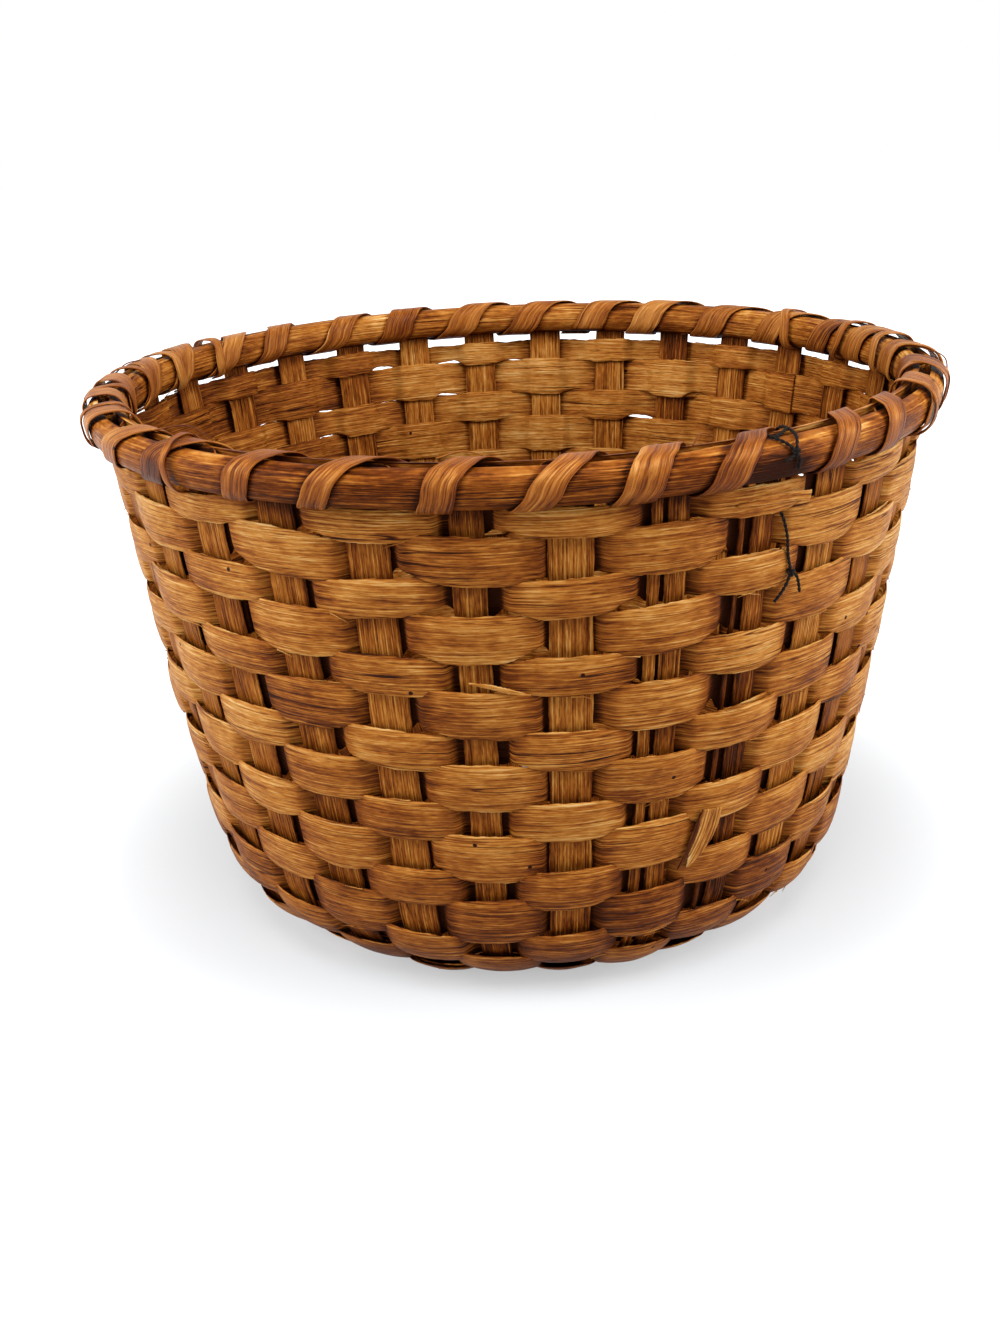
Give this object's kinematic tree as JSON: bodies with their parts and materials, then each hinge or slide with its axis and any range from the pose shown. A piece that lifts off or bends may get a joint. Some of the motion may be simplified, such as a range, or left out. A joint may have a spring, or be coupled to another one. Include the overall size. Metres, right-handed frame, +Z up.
{
  "type": "harvest basket",
  "caption": "Round splint harvest basket with a plaited base, flared woven wall and half-round rim hoops bound by a spiral lashing; carries and stores loose produce.",
  "frame": {"origin": "on the floor, under the middle of the base", "axes": "+Z up through the open mouth, -Y towards the front, +X to the right"},
  "size_m": [0.4356, 0.4356, 0.2815],
  "materials": {
    "stake_splint": "aged varnished splint",
    "weaver_splint": "aged varnished splint",
    "rim_hoop": "polished half-round wood",
    "rim_lashing": "aged varnished splint",
    "twine": "dark waxed twine"
  },
  "bodies": {
    "root": {"front_splint_01": "stake_splint", "front_splint_02": "stake_splint", "front_splint_03": "stake_splint", "front_splint_04": "stake_splint", "front_splint_05": "stake_splint", "front_splint_06": "stake_splint", "front_splint_07": "stake_splint", "front_splint_08": "stake_splint", "side_splint_01": "stake_splint", "side_splint_02": "stake_splint", "side_splint_03": "stake_splint", "side_splint_04": "stake_splint", "side_splint_05": "stake_splint", "side_splint_06": "stake_splint", "side_splint_07": "stake_splint", "weaver_row_01": "weaver_splint", "weaver_row_02": "weaver_splint", "weaver_row_03": "weaver_splint", "weaver_row_04": "weaver_splint", "weaver_row_05": "weaver_splint", "weaver_row_06": "weaver_splint", "weaver_row_07": "weaver_splint", "weaver_row_08": "weaver_splint", "weaver_row_09": "weaver_splint", "weaver_row_10": "weaver_splint", "weaver_row_11": "weaver_splint", "weaver_row_12": "weaver_splint", "weaver_row_13": "weaver_splint", "weaver_row_14": "weaver_splint", "weaver_row_15": "weaver_splint", "rim_row": "weaver_splint", "outer_rim_hoop": "rim_hoop", "inner_rim_hoop": "rim_hoop", "rim_lashing": "rim_lashing", "repair_twine": "twine"}
  },
  "joints": []
}
